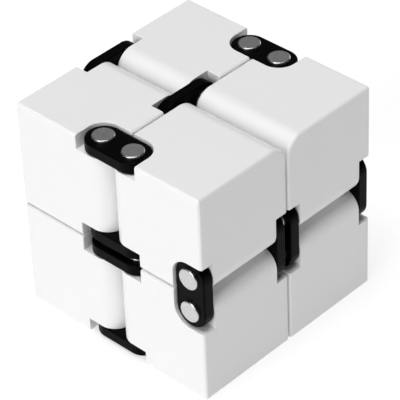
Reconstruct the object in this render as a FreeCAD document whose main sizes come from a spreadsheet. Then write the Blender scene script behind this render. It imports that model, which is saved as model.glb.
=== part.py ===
import FreeCAD, Part

import math
import os

import Sketcher

# A folding fidget cube: eight hollow plastic cubes joined in a ring by eight
# double-pin hinges. Lengths are in millimetres. X points to the right face,
# Y to the back and Z up; the origin is at the middle of the underside.
SIZES = {
    "cube_side": 19.85,
    "cube_gap": 0.30,
    "pin_inset": 3.10,
    "hinge_edge_radius": 3.35,
    "edge_radius": 0.50,
    "pocket_depth": 2.70,
    "pocket_reach": 3.20,
    "pocket_rim_radius": 0.15,
    "bore_diameter": 2.10,
    "barrel_wall": 1.20,
    "side_wall": 1.60,
    "ledge_width": 0.80,
    "lid_thickness": 1.60,
    "lid_clearance": 0.05,
    "lid_corner_radius": 1.00,
    "lid_edge_break": 0.15,
    "lip_height": 1.50,
    "lip_width": 1.00,
    "plate_thickness": 2.10,
    "plate_end_radius": 3.05,
    "plate_edge_radius": 0.25,
    "plate_clearance": 0.10,
    "pin_diameter": 2.00,
    "head_diameter": 3.80,
    "head_height": 0.45,
    "head_edge_radius": 0.20,
}

# Where each shell stands: (x side, y side, top or bottom), the mirror hand of
# its mould, and the directions its own x, y and z axes point in.
SHELLS = {
    "top_front_left": ((-1, -1, 1), 1, ("+X", "+Y", "+Z")),
    "top_back_left": ((-1, 1, 1), -1, ("+X", "+Y", "+Z")),
    "top_front_right": ((1, -1, 1), -1, ("-Z", "+X", "-Y")),
    "top_back_right": ((1, 1, 1), 1, ("-Z", "-X", "+Y")),
    "bottom_front_left": ((-1, -1, -1), -1, ("+X", "-Y", "-Z")),
    "bottom_back_left": ((-1, 1, -1), 1, ("+X", "-Y", "-Z")),
    "bottom_front_right": ((1, -1, -1), 1, ("+Z", "-X", "-Y")),
    "bottom_back_right": ((1, 1, -1), -1, ("+Z", "+X", "+Y")),
}

# The third edge of these two is rounded as broadly as a hinge edge.
BROAD_THIRD_EDGE = ("top_front_right", "top_back_right")

# Each hinge: the axis its pins lie along, the side of the middle it is on, the
# axis its two pins are spread along, and the outer face it is set into.
HINGES = {
    "front_upper": ("Z", 1, "X", "-Y"),
    "front_lower": ("Z", -1, "X", "-Y"),
    "back_upper": ("Z", 1, "X", "+Y"),
    "back_lower": ("Z", -1, "X", "+Y"),
    "right_front": ("Y", -1, "Z", "+X"),
    "right_back": ("Y", 1, "Z", "+X"),
    "top_left": ("X", -1, "Y", "+Z"),
    "bottom_left": ("X", -1, "Y", "-Z"),
}

# The words for the low and the high end of each axis.
END_WORDS = {"X": ("left", "right"), "Y": ("front", "back"), "Z": ("lower", "upper")}

OVERCUT = 2.0  # how far a cutting sketch runs past the face it opens, in mm
UPWARD = FreeCAD.Vector(0, 0, 1)
LEVEL_AXIS = ORIGIN = -1  # a sketch's own level axis, whose first point is its origin
UPRIGHT_AXIS = -2  # a sketch's own upright axis
CENTRE = 3  # the number of a circle's middle point in a sketch
CLOSE = 0.01  # points nearer than this are taken as the same, in mm
SMOOTH = 0.99  # faces whose normals agree this well meet smoothly


class Length:
    """A length that carries its value and the sheet expression that drives it."""

    def __init__(self, value, text):
        self.value = value
        self.text = text

    def join(self, sign, other, value):
        text = other.text if isinstance(other, Length) else f"{other}"
        return Length(value, f"({self.text} {sign} {text})")

    def __add__(self, other):
        return self.join("+", other, self.value + plain(other))

    def __sub__(self, other):
        return self.join("-", other, self.value - plain(other))

    def __mul__(self, other):
        return self.join("*", other, self.value * plain(other))

    def __truediv__(self, other):
        return self.join("/", other, self.value / plain(other))

    def __neg__(self):
        return self * -1


NOTHING = Length(0, "0")


def plain(length):
    """The bare number of a length."""
    return length.value if isinstance(length, Length) else length


def size(name):
    """The named size as a length driven by the sheet."""
    return Length(SIZES[name], f"Sizes.{name}")


def make_sheet(doc):
    """The sheet that holds every driving size."""
    sheet = doc.addObject("Spreadsheet::Sheet", "Sizes")
    for row, (name, value) in enumerate(SIZES.items(), start=1):
        sheet.set(f"A{row}", name)
        sheet.set(f"B{row}", str(value))
        sheet.setAlias(f"B{row}", name)
    doc.recompute()
    return sheet


def direction(word):
    """The unit vector named by a word such as +X."""
    sign = 1 if word[0] == "+" else -1
    return FreeCAD.Vector(*[sign * (word[1] == axis) for axis in "XYZ"])


def origin_feature(body, role):
    """One of the body's own origin planes or axes."""
    return next(f for f in body.Origin.OriginFeatures if f.Role == role)


def new_body(doc, label):
    """An empty body whose label names its file."""
    body = doc.addObject("PartDesign::Body", label)
    body.Label = label
    return body


def new_sketch(body, name, plane, height=None):
    """An empty sketch on an origin plane, lifted along the plane's normal."""
    sketch = body.newObject("Sketcher::SketchObject", name)
    sketch.AttachmentSupport = [(origin_feature(body, plane), "")]
    sketch.MapMode = "FlatFace"
    if height is not None:
        sketch.AttachmentOffset.Base = FreeCAD.Vector(0, 0, height.value)
        sketch.setExpression("AttachmentOffset.Base.z", height.text)
    return sketch


def add_driven(sketch, kind, *args):
    """A dimension whose value follows the sheet; the last argument is a length."""
    *where, length = args
    index = sketch.addConstraint(Sketcher.Constraint(kind, *where, plain(length)))
    sketch.setExpression(f"Constraints[{index}]", length.text)


def pin_down(sketch, item, point, axis, length):
    """Hold a point of an item at a driven distance from the sketch's origin."""
    if plain(length) == 0:
        own_axis = UPRIGHT_AXIS if axis == "x" else LEVEL_AXIS
        sketch.addConstraint(Sketcher.Constraint("PointOnObject", item, point, own_axis))
    else:
        kind = "DistanceX" if axis == "x" else "DistanceY"
        add_driven(sketch, kind, ORIGIN, 1, item, point, length)


def draw_corner(sketch, corner, into, out, radius):
    """A driven arc that rounds a corner; returns it and which of its ends comes first."""
    r = plain(radius)
    centre = corner + (out - into) * r
    left_turn = into.cross(out).z > 0
    first, last = (-out, into) if left_turn else (into, -out)
    circle = Part.Circle(centre, UPWARD, r)
    start_angle = math.atan2(first.y, first.x)
    end_angle = math.atan2(last.y, last.x)
    arc = sketch.addGeometry(Part.ArcOfCircle(circle, start_angle, end_angle))
    add_driven(sketch, "Radius", arc, radius)
    return arc, (1, 2) if left_turn else (2, 1)


def draw_outline(sketch, lines, radii=None):
    """A closed outline of upright and level lines, with rounded corners.

    lines holds ("x", length) for an upright line and ("y", length) for a level
    one, in order; radii maps a line's number to the corner that follows it.
    """
    radii = radii or {}
    count = len(lines)
    corners = []
    for i in range(count):
        pair = dict((lines[i], lines[(i + 1) % count]))
        corners.append(FreeCAD.Vector(plain(pair["x"]), plain(pair["y"]), 0))
    ways = [(corners[i] - corners[i - 1]).normalize() for i in range(count)]
    trims = [plain(radii.get(i, 0)) for i in range(count)]
    sides = []
    for i, (axis, length) in enumerate(lines):
        start = corners[i - 1] + ways[i] * trims[i - 1]
        end = corners[i] - ways[i] * trims[i]
        side = sketch.addGeometry(Part.LineSegment(start, end))
        lie = "Horizontal" if axis == "y" else "Vertical"
        sketch.addConstraint(Sketcher.Constraint(lie, side))
        pin_down(sketch, side, 1, axis, length)
        sides.append(side)
    for i in range(count):
        after = (i + 1) % count
        if i in radii:
            arc, (near, far) = draw_corner(sketch, corners[i], ways[i], ways[after], radii[i])
            sketch.addConstraint(Sketcher.Constraint("Tangent", sides[i], 2, arc, near))
            sketch.addConstraint(Sketcher.Constraint("Tangent", arc, far, sides[after], 1))
        else:
            sketch.addConstraint(Sketcher.Constraint("Coincident", sides[i], 2, sides[after], 1))


def draw_circle(sketch, across, up, diameter):
    """A driven circle centred at (across, up)."""
    centre = FreeCAD.Vector(plain(across), plain(up), 0)
    circle = sketch.addGeometry(Part.Circle(centre, UPWARD, plain(diameter) / 2))
    pin_down(sketch, circle, CENTRE, "x", across)
    pin_down(sketch, circle, CENTRE, "y", up)
    add_driven(sketch, "Diameter", circle, diameter)


def extrude(body, kind, name, sketch, length, reverse=False, centred=False):
    """A pad or pocket of a sketch."""
    feature = body.newObject(f"PartDesign::{kind}", name)
    feature.Profile = sketch
    feature.Length = length.value
    feature.setExpression("Length", length.text)
    feature.Reversed = reverse
    if centred:
        feature.SideType = "Symmetric"
    sketch.Visibility = False
    return feature


def mirror(body, name, feature, plane):
    """Repeat a feature on the other side of an origin plane."""
    pair = body.newObject("PartDesign::Mirrored", name)
    pair.Originals = [feature]
    pair.MirrorPlane = (origin_feature(body, plane), [""])
    body.Tip = pair


def dress(body, kind, name, base, chosen, length):
    """A fillet or chamfer on the chosen edges of a feature."""
    dressed = body.newObject(f"PartDesign::{kind}", name)
    dressed.Base = (base, chosen)
    what = "Radius" if kind == "Fillet" else "Size"
    setattr(dressed, what, plain(length))
    dressed.setExpression(what, length.text)
    return dressed


def edges_that(doc, feature, test):
    """The names of a feature's edges that pass the test."""
    doc.recompute()
    found = enumerate(feature.Shape.Edges, start=1)
    return [f"Edge{i}" for i, edge in found if test(edge)]


def is_corner_line(edge, along, place):
    """Whether an edge runs along an axis through the given place."""
    spots = [v.Point for v in edge.Vertexes]
    others = [a for a in "xyz" if a != along]
    return len(spots) == 2 and all(
        abs(getattr(p, a) - place[a]) < CLOSE for p in spots for a in others
    )


def is_sharp(feature, edge):
    """Whether the two faces at an edge meet at an angle."""
    faces = feature.Shape.ancestorsOfType(edge, Part.Face)
    if len(faces) != 2:
        return False
    first, last = edge.ParameterRange
    spot = edge.valueAt((first + last) / 2)
    one, two = [face.normalAt(*face.Surface.parameter(spot)) for face in faces]
    return abs(one.dot(two)) < SMOOTH


def is_rim(feature, edge):
    """Whether an edge is where a link pocket opens through an outer face."""
    half = SIZES["cube_side"] / 2
    floor = half - SIZES["pocket_depth"]
    first, last = edge.ParameterRange
    spots = [edge.valueAt(first), edge.valueAt(last), edge.valueAt((first + last) / 2)]
    reaches = [sorted(map(abs, spot)) for spot in spots]
    outside = all(reach[2] > half - SIZES["edge_radius"] for reach in reaches)
    on_floor = any(all(abs(abs(spot[i]) - floor) < CLOSE for spot in spots) for i in range(3))
    return outside and not on_floor and is_sharp(feature, edge)


def pocket_lines(across, up):
    """The link pocket round a hinge edge, open on its two outer sides."""
    inner = size("cube_side") / 2 - size("pin_inset") - size("pocket_reach")
    outer = size("cube_side") / 2 + OVERCUT
    return [
        ("x", outer * across),
        ("y", inner * up),
        ("x", inner * across),
        ("y", outer * up),
    ]


def cut_hinge(body, name, plane, across, up):
    """The two link pockets at the ends of a hinge edge and the bore between."""
    outline = new_sketch(body, f"{name}_pocket_outline", plane, size("cube_side") / 2)
    draw_outline(outline, pocket_lines(across, up), {1: size("pocket_reach")})
    pocket = extrude(body, "Pocket", f"{name}_pocket", outline, size("pocket_depth"))
    mirror(body, f"{name}_pocket_pair", pocket, plane)
    pin = size("cube_side") / 2 - size("pin_inset")
    bore = new_sketch(body, f"{name}_bore_outline", plane)
    draw_circle(bore, pin * across, pin * up, size("bore_diameter"))
    extrude(body, "Pocket", f"{name}_bore", bore, size("cube_side"), centred=True)


def barrel_edge():
    """How far from the middle the solid barrel round a hinge begins."""
    barrel = size("pin_inset") + size("pocket_reach") + size("barrel_wall")
    return size("cube_side") / 2 - barrel


def broad_edge():
    """How far from the middle a broadly rounded edge and its wall begin."""
    return size("cube_side") / 2 - size("hinge_edge_radius") - size("edge_radius")


def lid_lines(hand, inset):
    """The L-shaped outline of the lid opening, drawn in by an inset."""
    half = size("cube_side") / 2
    high = half - size("side_wall") - inset
    notch = barrel_edge() - inset
    return [
        ("x", -(broad_edge() - inset)),
        ("y", high * hand),
        ("x", high),
        ("y", notch * -hand),
        ("x", notch),
        ("y", high * -hand),
    ]


def lid_corners():
    """Every corner of the lid outline but the notch's is rounded."""
    return {i: size("lid_corner_radius") for i in (0, 1, 2, 4, 5)}


def upper_hollow_lines(hand):
    """The hollow beside the upper hinge barrel, as far as the lower one."""
    wall = size("cube_side") / 2 - size("side_wall") - size("ledge_width")
    notch = barrel_edge() - size("ledge_width")
    return [
        ("x", -(broad_edge() - size("ledge_width"))),
        ("y", notch * hand),
        ("x", wall),
        ("y", notch * -hand),
        ("x", notch),
        ("y", wall * -hand),
    ]


def build_shell(doc, label, hand, broad):
    """One cube shell: hinge edges, link pockets, bores, hollow and lid seat."""
    body = new_body(doc, label)
    half = size("cube_side") / 2
    block = new_sketch(body, "block_outline", "XY_Plane")
    draw_outline(block, [("x", -half), ("y", half), ("x", half), ("y", -half)])
    solid = extrude(body, "Pad", "block", block, size("cube_side"), centred=True)

    reach = half.value
    rounded = {
        "z": {"x": reach, "y": -reach * hand},
        "x": {"y": reach * hand, "z": reach},
    }
    if broad:
        rounded["y"] = {"x": -reach, "z": -reach}
    chosen = edges_that(doc, solid, lambda e: any(
        is_corner_line(e, along, place) for along, place in rounded.items()))
    solid = dress(body, "Fillet", "hinge_edges", solid, chosen, size("hinge_edge_radius"))
    chosen = edges_that(doc, solid, lambda e: is_sharp(solid, e))
    dress(body, "Fillet", "soft_edges", solid, chosen, size("edge_radius"))

    cut_hinge(body, "upright", "XY_Plane", 1, -hand)
    cut_hinge(body, "level", "YZ_Plane", hand, 1)

    solid = body.Tip
    chosen = edges_that(doc, solid, lambda e: is_rim(solid, e))
    dress(body, "Fillet", "pocket_rims", solid, chosen, size("pocket_rim_radius"))

    seat = new_sketch(body, "lid_seat_outline", "XY_Plane", -half)
    draw_outline(seat, lid_lines(hand, 0), lid_corners())
    extrude(body, "Pocket", "lid_seat", seat, size("lid_thickness"), reverse=True)
    mouth = new_sketch(body, "hollow_outline", "XY_Plane", -half)
    draw_outline(mouth, lid_lines(hand, size("ledge_width")))
    extrude(body, "Pocket", "hollow", mouth, half + barrel_edge(), reverse=True)
    upper = new_sketch(body, "upper_hollow_outline", "XY_Plane")
    draw_outline(upper, upper_hollow_lines(hand))
    extrude(body, "Pocket", "upper_hollow", upper, half - size("side_wall"), reverse=True)
    return body


def build_lid(doc, label, hand):
    """The lid that closes a shell, with a locating lip on its inner side."""
    body = new_body(doc, label)
    half = size("cube_side") / 2
    gap = size("lid_clearance")
    plate = new_sketch(body, "lid_outline", "XY_Plane", -half)
    draw_outline(plate, lid_lines(hand, gap), lid_corners())
    solid = extrude(body, "Pad", "lid_plate", plate, size("lid_thickness"))
    outer_face = -half.value
    chosen = edges_that(doc, solid, lambda e: all(
        abs(v.Point.z - outer_face) < CLOSE for v in e.Vertexes))
    dress(body, "Chamfer", "lid_edge", solid, chosen, size("lid_edge_break"))
    lip = new_sketch(body, "lip_outline", "XY_Plane", size("lid_thickness") - half)
    outside = size("ledge_width") + gap
    draw_outline(lip, lid_lines(hand, outside))
    draw_outline(lip, lid_lines(hand, outside + size("lip_width")))
    extrude(body, "Pad", "lip", lip, size("lip_height"))
    return body


def pin_reach():
    """How far each pin of a hinge stands from the middle of its link."""
    return size("pin_inset") + size("cube_gap") / 2


def draw_slot(sketch, reach, radius):
    """A bar with round ends, lying along the sketch's level axis."""
    r = radius.value
    ends = []
    for way, start in ((1, -math.pi / 2), (-1, math.pi / 2)):
        circle = Part.Circle(FreeCAD.Vector(way * reach.value, 0, 0), UPWARD, r)
        end = sketch.addGeometry(Part.ArcOfCircle(circle, start, start + math.pi))
        pin_down(sketch, end, CENTRE, "x", reach * way)
        pin_down(sketch, end, CENTRE, "y", NOTHING)
        add_driven(sketch, "Radius", end, radius)
        ends.append(end)
    for way, (near, far) in ((1, ends), (-1, reversed(ends))):
        start = FreeCAD.Vector(way * reach.value, way * r, 0)
        side = sketch.addGeometry(Part.LineSegment(start, FreeCAD.Vector(-start.x, start.y, 0)))
        sketch.addConstraint(Sketcher.Constraint("Tangent", near, 2, side, 1))
        sketch.addConstraint(Sketcher.Constraint("Tangent", side, 2, far, 1))


def build_plate(doc, label):
    """A link plate: a flat bar with round ends and two pin holes."""
    body = new_body(doc, label)
    outline = new_sketch(body, "plate_outline", "XY_Plane")
    draw_slot(outline, pin_reach(), size("plate_end_radius"))
    bar = extrude(body, "Pad", "plate", outline, size("plate_thickness"), centred=True)
    chosen = edges_that(doc, bar, lambda e: is_sharp(bar, e))
    dress(body, "Fillet", "plate_edges", bar, chosen, size("plate_edge_radius"))
    holes = new_sketch(body, "hole_outline", "XY_Plane")
    for way in (-1, 1):
        draw_circle(holes, pin_reach() * way, NOTHING, size("pin_diameter"))
    extrude(body, "Pocket", "pin_holes", holes, size("plate_thickness"), centred=True)
    return body


def plate_inner_face():
    """How far from the middle of a cube a plate's inner face is."""
    return size("cube_side") / 2 - size("pocket_depth") + size("plate_clearance")


def build_pin(doc, label):
    """A hinge pin: a shaft with a flat round head at each end."""
    body = new_body(doc, label)
    shaft = size("pin_diameter") / 2
    head = size("head_diameter") / 2
    under = plate_inner_face() + size("plate_thickness")
    top = under + size("head_height")
    profile = new_sketch(body, "pin_profile", "XZ_Plane")
    lines = [
        ("x", NOTHING),
        ("y", top),
        ("x", head),
        ("y", under),
        ("x", shaft),
        ("y", -under),
        ("x", head),
        ("y", -top),
    ]
    draw_outline(profile, lines, {i: size("head_edge_radius") for i in (1, 6)})
    turned = body.newObject("PartDesign::Revolution", "pin")
    turned.Profile = profile
    turned.ReferenceAxis = (origin_feature(body, "Z_Axis"), [""])
    turned.Angle = 360
    profile.Visibility = False
    return body


def put(body, spot, rotation):
    """Stand a body at a spot of three driven lengths."""
    body.Placement = FreeCAD.Placement(FreeCAD.Vector(*map(plain, spot)), rotation)
    for axis, length in zip("xyz", spot):
        body.setExpression(f"Placement.Base.{axis}", length.text)


def half_pitch():
    """Half the distance between the middles of neighbouring cubes."""
    return (size("cube_side") + size("cube_gap")) / 2


def mid_height():
    """The height of the object's middle."""
    return size("cube_side") / 2 + half_pitch()


def build_cube(doc, name):
    """One of the eight cubes: its shell and the lid on an inner face."""
    sides, hand, ways = SHELLS[name]
    spot = [half_pitch() * side for side in sides]
    spot[2] = spot[2] + mid_height()
    rotation = FreeCAD.Rotation(*map(direction, ways), "ZXY")
    put(build_shell(doc, f"shell_{name}", hand, name in BROAD_THIRD_EDGE), spot, rotation)
    put(build_lid(doc, f"lid_{name}", hand), spot, rotation)


def build_hinge(doc, name):
    """One hinge: a link plate at each end of the edge and two pins."""
    along, side, spread, outward = HINGES[name]
    pin_line = half_pitch() + size("cube_side") / 2 - size("pin_inset")
    centre = {along: half_pitch() * side, spread: NOTHING}
    centre[outward[1]] = pin_line if outward[0] == "+" else -pin_line
    centre["Z"] = centre["Z"] + mid_height()
    way_x = direction("+" + spread)
    way_z = direction("+" + along)
    rotation = FreeCAD.Rotation(way_x, way_z.cross(way_x), way_z, "ZXY")
    plate_offset = plate_inner_face() + size("plate_thickness") / 2
    for way, end in zip((-1, 1), END_WORDS[along]):
        spot = dict(centre)
        spot[along] = spot[along] + plate_offset * way
        plate = build_plate(doc, f"link_plate_{name}_{end}_end")
        put(plate, [spot[axis] for axis in "XYZ"], rotation)
    for way, place in zip((-1, 1), END_WORDS[spread]):
        spot = dict(centre)
        spot[spread] = spot[spread] + pin_reach() * way
        pin = build_pin(doc, f"pin_{name}_{place}")
        put(pin, [spot[axis] for axis in "XYZ"], rotation)


def check_document(doc, bodies):
    """Stop if any object is in error or any sub-part isn't one sound solid."""
    for thing in doc.Objects:
        if {"Invalid", "Error"} & set(thing.State):
            raise RuntimeError(f"{thing.Label} is {thing.State}")
    for body in bodies:
        shape = body.Shape
        if shape.isNull() or not shape.isValid() or len(shape.Solids) != 1:
            raise RuntimeError(f"{body.Label} isn't one valid solid")


def main():
    """Build every sub-part and write each to its own file."""
    doc = FreeCAD.newDocument("fidget_cube")
    make_sheet(doc)
    for name in SHELLS:
        build_cube(doc, name)
    for name in HINGES:
        build_hinge(doc, name)
    doc.recompute()
    bodies = [thing for thing in doc.Objects if thing.TypeId == "PartDesign::Body"]
    check_document(doc, bodies)
    os.makedirs("parts", exist_ok=True)
    for body in bodies:
        body.Shape.exportStep(f"parts/{body.Label}.step")


main()
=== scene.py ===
import math

import bpy
from mathutils import Matrix, Vector


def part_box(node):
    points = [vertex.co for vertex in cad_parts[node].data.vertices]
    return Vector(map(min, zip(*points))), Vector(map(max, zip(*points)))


# The closed cube's measures, in metres, in the CAD frame.
SIDE = 0.040
HALF_SIDE = SIDE / 2
MIDDLE = Vector((0, 0, HALF_SIDE))

# The camera: degrees round the object from its front, degrees up, degrees of roll,
# distance from the middle, focal length in image widths, and metres across and up.
# The sensor is in millimetres. The nearest and farthest that it sees are in metres.
CAMERA_AZIMUTH = 44.8
CAMERA_ELEVATION = 37.3
CAMERA_ROLL = -2.5
CAMERA_DISTANCE = 0.400
CAMERA_FOCAL = 6.10
CAMERA_ACROSS = 0.00045
CAMERA_UP = -0.00090
CAMERA_SENSOR = 36
CAMERA_NEAREST = 0.01
CAMERA_FARTHEST = 10

# The soft lights, all square: name, place and side in metres, power in watts.
# The key light faces the front and the top light the tops. The faint back light and the
# rear fill keep the faces turned away from the camera out of the dark.
LIGHTS = (
    ("key", (0.05, -0.85, 0.35), 0.5, 4.0),
    ("top", (0.0, -0.1, 0.9), 0.6, 6.4),
    ("back", (-0.50, 0.51, 0.56), 0.6, 0.27),
    ("rear_fill", (-0.10, 0.90, 0.25), 0.5, 1.0),
)
WORLD_STRENGTH = 0.01

# The floor is mid grey with a glow of its own, so that it reads white.
FLOOR_REACH = 4.0
FLOOR_COLOUR = (0.5, 0.5, 0.5, 1)
FLOOR_ROUGHNESS = 0.9
FLOOR_GLOW = 0.60
WHITE = (1, 1, 1, 1)

# Noise mostly stays between these two values.
NOISE_LOW = 0.3
NOISE_HIGH = 0.7

# A colour mix node's sockets share their names with others, so they go by number.
MIX_ONE = 6
MIX_TWO = 7
MIX_RESULT = 2

# The materials. Each has two tints that it wanders between, a range of roughness and
# fine relief with a height in metres. A scale is about one over a feature's size in metres.
WHITE_TINTS = ((0.850, 0.853, 0.857), (0.865, 0.865, 0.863))
WHITE_TINT_SCALE = 90
WHITE_ROUGHNESS = (0.30, 0.37)
WHITE_GLOSS_SCALE = 160
WHITE_GRAIN_SCALE = 9000
WHITE_GRAIN_HEIGHT = 0.000003
WHITE_RIPPLE_SCALE = 220
WHITE_RIPPLE_HEIGHT = 0.00003
WHITE_SCATTER_WEIGHT = 0.06
WHITE_SCATTER_DEPTH = 0.0008
WHITE_SCATTER_BY_COLOUR = (1.0, 0.9, 0.8)

BLACK_TINTS = ((0.0005, 0.0005, 0.0006), (0.0014, 0.0014, 0.0016))
BLACK_TINT_SCALE = 400
BLACK_ROUGHNESS = (0.30, 0.42)
BLACK_RUB_SCALE = 700
BLACK_GRAIN_SCALE = 7000
BLACK_GRAIN_HEIGHT = 0.000006
BLACK_REFLECTION = 0.035

STEEL_TINTS = ((0.53, 0.53, 0.53), (0.60, 0.60, 0.59))
STEEL_TINT_SCALE = 600
STEEL_ROUGHNESS = (0.24, 0.34)
STEEL_GLOSS_SCALE = 900
STEEL_RING_SPACING = 0.00011
STEEL_RING_HEIGHT = 0.0000016
STEEL_SCRATCH_SCALE = 12000
STEEL_SCRATCH_HEIGHT = 0.0000015

PLASTIC_IOR = 1.5


class Nodes:
    """A short way to add and link the nodes of one material."""

    def __init__(self, name):
        self.material = bpy.data.materials.new(name)
        self.material.use_nodes = True
        self.tree = self.material.node_tree
        self.shader = self.tree.nodes["Principled BSDF"]

    def add(self, kind, **settings):
        node = self.tree.nodes.new(kind)
        for key, value in settings.items():
            setattr(node, key, value)
        return node

    def join(self, source, target):
        self.tree.links.new(source, target)

    def feed(self, source, name):
        """Link a value to one of the shader's sockets."""
        self.join(source, self.shader.inputs[name])

    def place(self):
        return self.add("ShaderNodeTexCoord").outputs["Object"]

    def noise(self, scale, detail=2.0, roughness=0.5):
        """Noise with features of about 1 / scale metres."""
        node = self.add("ShaderNodeTexNoise")
        node.inputs["Scale"].default_value = scale
        node.inputs["Detail"].default_value = detail
        node.inputs["Roughness"].default_value = roughness
        self.join(self.place(), node.inputs["Vector"])
        return node.outputs["Fac"]

    def spread(self, value, low, high):
        """Noise stretched to run from low to high."""
        node = self.add("ShaderNodeMapRange")
        node.inputs["From Min"].default_value = NOISE_LOW
        node.inputs["From Max"].default_value = NOISE_HIGH
        node.inputs["To Min"].default_value = low
        node.inputs["To Max"].default_value = high
        self.join(value, node.inputs["Value"])
        return node.outputs["Result"]

    def blend(self, factor, one, two):
        """A colour between two, by a factor."""
        node = self.add("ShaderNodeMix", data_type="RGBA")
        self.join(factor, node.inputs["Factor"])
        node.inputs[MIX_ONE].default_value = (*one, 1)
        node.inputs[MIX_TWO].default_value = (*two, 1)
        return node.outputs[MIX_RESULT]

    def maths(self, operation, one, two=0.0):
        """The result of an operation on one or two numbers or sockets."""
        node = self.add("ShaderNodeMath", operation=operation)
        for socket, value in zip(node.inputs, (one, two)):
            if isinstance(value, (int, float)):
                socket.default_value = value
            else:
                self.join(value, socket)
        return node.outputs[0]

    def bump(self, height, distance, under=None):
        """A bump of a real height in metres, on top of another if given."""
        node = self.add("ShaderNodeBump")
        node.inputs["Strength"].default_value = 1.0
        node.inputs["Distance"].default_value = distance
        self.join(height, node.inputs["Height"])
        if under is not None:
            self.join(under, node.inputs["Normal"])
        return node.outputs["Normal"]

    def set(self, **values):
        """Constant shader values, by socket name with underscores."""
        for key, value in values.items():
            self.shader.inputs[key.replace("_", " ")].default_value = value


def white_plastic():
    """Satin-gloss white ABS: fine mould grain, a faint flow ripple and slightly
    uneven gloss."""
    nodes = Nodes("white_plastic")
    tint = nodes.noise(WHITE_TINT_SCALE, detail=3)
    nodes.feed(nodes.blend(tint, *WHITE_TINTS), "Base Color")
    gloss = nodes.noise(WHITE_GLOSS_SCALE, detail=4, roughness=0.6)
    nodes.feed(nodes.spread(gloss, *WHITE_ROUGHNESS), "Roughness")
    grain = nodes.bump(nodes.noise(WHITE_GRAIN_SCALE), WHITE_GRAIN_HEIGHT)
    flow = nodes.noise(WHITE_RIPPLE_SCALE, detail=1)
    nodes.feed(nodes.bump(flow, WHITE_RIPPLE_HEIGHT, under=grain), "Normal")
    nodes.set(IOR=PLASTIC_IOR)
    nodes.set(Subsurface_Weight=WHITE_SCATTER_WEIGHT, Subsurface_Scale=WHITE_SCATTER_DEPTH)
    nodes.set(Subsurface_Radius=WHITE_SCATTER_BY_COLOUR)
    return nodes.material


def black_plastic():
    """Semi-gloss black nylon: a coarser, deeper grain than the white's, and faint rub marks."""
    nodes = Nodes("black_plastic")
    tint = nodes.noise(BLACK_TINT_SCALE, detail=3)
    nodes.feed(nodes.blend(tint, *BLACK_TINTS), "Base Color")
    rubs = nodes.noise(BLACK_RUB_SCALE, detail=4, roughness=0.65)
    nodes.feed(nodes.spread(rubs, *BLACK_ROUGHNESS), "Roughness")
    grain = nodes.noise(BLACK_GRAIN_SCALE, detail=3)
    nodes.feed(nodes.bump(grain, BLACK_GRAIN_HEIGHT), "Normal")
    nodes.set(IOR=PLASTIC_IOR, Specular_IOR_Level=BLACK_REFLECTION)
    return nodes.material


def distance_from_pins(nodes, axis, spread, line):
    """Distance from the nearest pin's centre line, for the pins along one axis.

    spread is how far a hinge's two pins stand from the plane between them, and line is
    how far that pair stands from the object's middle plane.
    """
    pin_lines = {
        "X": {"Y": (0, spread), "Z": (HALF_SIDE, line)},
        "Y": {"X": (0, line), "Z": (HALF_SIDE, spread)},
        "Z": {"X": (0, spread), "Y": (0, line)},
    }
    split = nodes.add("ShaderNodeSeparateXYZ")
    nodes.join(nodes.place(), split.inputs[0])
    squares = []
    for letter, (middle, offset) in pin_lines[axis].items():
        shifted = nodes.maths("SUBTRACT", split.outputs[letter], middle)
        from_middle = nodes.maths("ABSOLUTE", shifted)
        from_pin = nodes.maths("SUBTRACT", from_middle, offset)
        squares.append(nodes.maths("MULTIPLY", from_pin, from_pin))
    return nodes.maths("SQRT", nodes.maths("ADD", *squares))


def turned_steel(axis, spread, line):
    """Steel with the fine rings that turning leaves round the pin's axis, and fine scratches."""
    nodes = Nodes(f"pin_steel_{axis.lower()}")
    radius = distance_from_pins(nodes, axis, spread, line)
    rings = nodes.maths("SINE", nodes.maths("MULTIPLY", radius, math.tau / STEEL_RING_SPACING))
    turned = nodes.bump(rings, STEEL_RING_HEIGHT)
    scratches = nodes.noise(STEEL_SCRATCH_SCALE)
    nodes.feed(nodes.bump(scratches, STEEL_SCRATCH_HEIGHT, under=turned), "Normal")
    gloss = nodes.noise(STEEL_GLOSS_SCALE, detail=3)
    nodes.feed(nodes.spread(gloss, *STEEL_ROUGHNESS), "Roughness")
    tint = nodes.noise(STEEL_TINT_SCALE)
    nodes.feed(nodes.blend(tint, *STEEL_TINTS), "Base Color")
    nodes.set(Metallic=1.0)
    return nodes.material


def paint(thing, material):
    """Give one object a single material."""
    for slot in thing.material_slots:
        slot.link = "OBJECT"
        slot.material = material


def longest_axis(name):
    """The letter of the axis that a node is longest along."""
    low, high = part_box(name)
    spans = [high[i] - low[i] for i in range(3)]
    return "XYZ"[spans.index(max(spans))]


def finish_nodes(frame):
    """Give every CAD node its material."""
    white = white_plastic()
    black = black_plastic()
    low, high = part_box("pin_front_upper_right")
    spread = (low[0] + high[0]) / 2
    line = -(low[1] + high[1]) / 2
    steel = {axis: turned_steel(axis, spread, line) for axis in "XYZ"}
    for name, thing in frame["nodes"].items():
        if name.startswith("pin"):
            paint(thing, steel[longest_axis(name)])
        elif name.startswith("link"):
            paint(thing, black)
        else:
            paint(thing, white)


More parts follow.
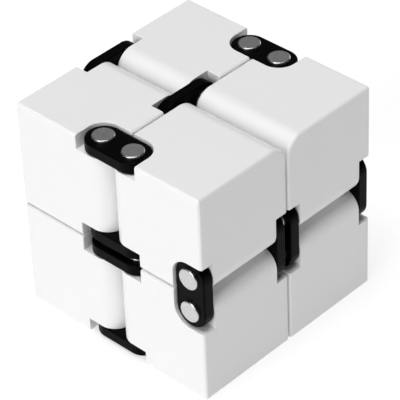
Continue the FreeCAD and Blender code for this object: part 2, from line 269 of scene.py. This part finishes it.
def add_camera():
    """The camera, aimed at the middle of the cube from the angles given above."""
    azimuth = math.radians(CAMERA_AZIMUTH)
    elevation = math.radians(CAMERA_ELEVATION)
    back = Vector((
        math.sin(azimuth) * math.cos(elevation),
        -math.cos(azimuth) * math.cos(elevation),
        math.sin(elevation),
    ))
    right = Vector((0, 0, 1)).cross(back).normalized()
    up = back.cross(right)
    turn = Matrix.Rotation(math.radians(CAMERA_ROLL), 3, back)
    right = turn @ right
    up = turn @ up
    data = bpy.data.cameras.new("camera")
    data.sensor_width = CAMERA_SENSOR
    data.lens = CAMERA_FOCAL * data.sensor_width
    data.clip_start = CAMERA_NEAREST
    data.clip_end = CAMERA_FARTHEST
    camera = bpy.data.objects.new("camera", data)
    spot = MIDDLE + back * CAMERA_DISTANCE + right * CAMERA_ACROSS + up * CAMERA_UP
    facing = Matrix((right, up, back)).transposed().to_4x4()
    camera.matrix_world = Matrix.Translation(spot) @ facing
    bpy.context.collection.objects.link(camera)
    bpy.context.scene.camera = camera


def add_softbox(name, spot, side, power):
    """A square soft light that faces the object."""
    data = bpy.data.lights.new(name, "AREA")
    data.shape = "SQUARE"
    data.size = side
    data.energy = power
    light = bpy.data.objects.new(name, data)
    light.location = spot
    light.rotation_euler = (Vector(spot) - MIDDLE).to_track_quat("Z", "Y").to_euler()
    bpy.context.collection.objects.link(light)


def add_floor():
    """A broad flat floor under the object."""
    mesh = bpy.data.meshes.new("floor")
    low, high = -FLOOR_REACH, FLOOR_REACH
    corners = [(low, low, 0), (high, low, 0), (high, high, 0), (low, high, 0)]
    mesh.from_pydata(corners, [], [(0, 1, 2, 3)])
    floor = bpy.data.objects.new("floor", mesh)
    bpy.context.collection.objects.link(floor)
    nodes = Nodes("floor_white")
    nodes.set(Base_Color=FLOOR_COLOUR, Roughness=FLOOR_ROUGHNESS)
    nodes.set(Emission_Color=WHITE, Emission_Strength=FLOOR_GLOW)
    mesh.materials.append(nodes.material)


def add_surround():
    """A nearly dark surround, so that the soft lights do the work."""
    world = bpy.data.worlds.new("surround")
    world.use_nodes = True
    background = world.node_tree.nodes["Background"]
    background.inputs["Color"].default_value = WHITE
    background.inputs["Strength"].default_value = WORLD_STRENGTH
    bpy.context.scene.world = world


def add_studio():
    """The floor, the surround, the soft lights and a plain view of their tones."""
    add_floor()
    add_surround()
    for light in LIGHTS:
        add_softbox(*light)
    view = bpy.context.scene.view_settings
    view.view_transform = "Standard"
    view.look = "None"


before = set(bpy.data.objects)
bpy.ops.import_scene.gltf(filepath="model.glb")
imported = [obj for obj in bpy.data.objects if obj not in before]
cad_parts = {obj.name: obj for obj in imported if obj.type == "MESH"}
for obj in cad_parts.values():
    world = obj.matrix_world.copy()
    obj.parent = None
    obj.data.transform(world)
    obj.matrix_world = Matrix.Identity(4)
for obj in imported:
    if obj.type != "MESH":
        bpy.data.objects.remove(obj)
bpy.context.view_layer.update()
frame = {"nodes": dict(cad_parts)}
finish_nodes(frame)
add_studio()
add_camera()
